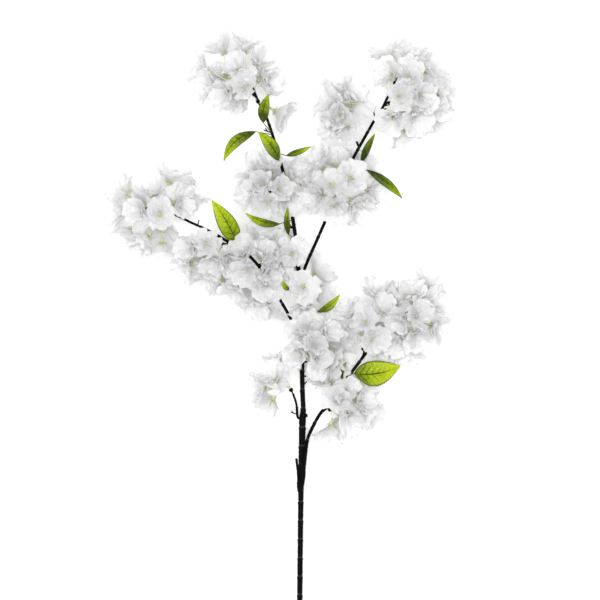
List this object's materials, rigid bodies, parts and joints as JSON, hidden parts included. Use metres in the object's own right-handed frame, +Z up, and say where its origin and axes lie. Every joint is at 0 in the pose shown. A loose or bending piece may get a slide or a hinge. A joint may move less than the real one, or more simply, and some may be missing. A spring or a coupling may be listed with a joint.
{
  "type": "cherry blossom spray",
  "caption": "Artificial white cherry blossom spray lying flat: dark taped stem with three side branches, printed green leaves and clusters of double blossoms on wire stalks.",
  "frame": {"origin": "bottom centre of the whole lying spray, on the surface it rests on", "axes": "+Y from the cut end of the stem towards the tip, +X to the right when it is looked down on with the tip at the top, +Z up from the surface"},
  "size_m": [0.4958, 0.8662, 0.1109],
  "materials": {
    "bark_tape": "near-black brown wrapped tape, dull, with a slight ridge at each turn",
    "leaf_green": "printed yellow-green leaf cloth with darker veins, satin",
    "petal_white": "thin crumpled white petal cloth that lets light through, with a yellow-green calyx and centre"
  },
  "bodies": {
    "root": {"blossoms_arm_left": "petal_white", "blossoms_arm_right": "petal_white", "blossoms_bend_low": "petal_white", "blossoms_bend_right": "petal_white", "blossoms_bend_top": "petal_white", "blossoms_crown_end": "petal_white", "blossoms_crown_low": "petal_white", "blossoms_crown_right": "petal_white", "blossoms_crown_under": "petal_white", "blossoms_heart_right": "petal_white", "blossoms_heart_top": "petal_white", "blossoms_inner_front": "petal_white", "blossoms_inner_low": "petal_white", "blossoms_inner_right": "petal_white", "blossoms_left_far": "petal_white", "blossoms_left_low": "petal_white", "blossoms_left_top": "petal_white", "blossoms_left_under": "petal_white", "blossoms_low_left_all": "petal_white", "blossoms_low_right_back": "petal_white", "blossoms_low_right_front": "petal_white", "blossoms_middle_front": "petal_white", "blossoms_middle_top": "petal_white", "blossoms_middle_under": "petal_white", "blossoms_right_end_low": "petal_white", "blossoms_right_end_right": "petal_white", "blossoms_right_end_top": "petal_white", "blossoms_right_end_under": "petal_white", "blossoms_right_low_left": "petal_white", "blossoms_right_low_top": "petal_white", "blossoms_shoulder_low": "petal_white", "blossoms_shoulder_top": "petal_white", "blossoms_throat_low": "petal_white", "blossoms_throat_middle": "petal_white", "blossoms_throat_top": "petal_white", "blossoms_tip_end": "petal_white", "blossoms_tip_left": "petal_white", "blossoms_tip_low": "petal_white", "blossoms_tip_under": "petal_white", "branch_left": "bark_tape", "branch_lower_right": "bark_tape", "branch_upper_right": "bark_tape", "cut_side_twig": "bark_tape", "leaf_arched": "leaf_green", "leaf_bud": "leaf_green", "leaf_centre": "leaf_green", "leaf_inner": "leaf_green", "leaf_left_large": "leaf_green", "leaf_right_large": "leaf_green", "leaf_right_middle": "leaf_green", "leaf_small": "leaf_green", "leaf_throat": "leaf_green", "leaf_tip": "leaf_green", "leaf_twig": "leaf_green", "leaf_upper_left": "leaf_green", "leaf_upper_right": "leaf_green", "main_stem": "bark_tape", "twig_centre": "bark_tape", "twig_lower_left": "bark_tape", "twig_upper_middle": "bark_tape"}
  },
  "joints": []
}
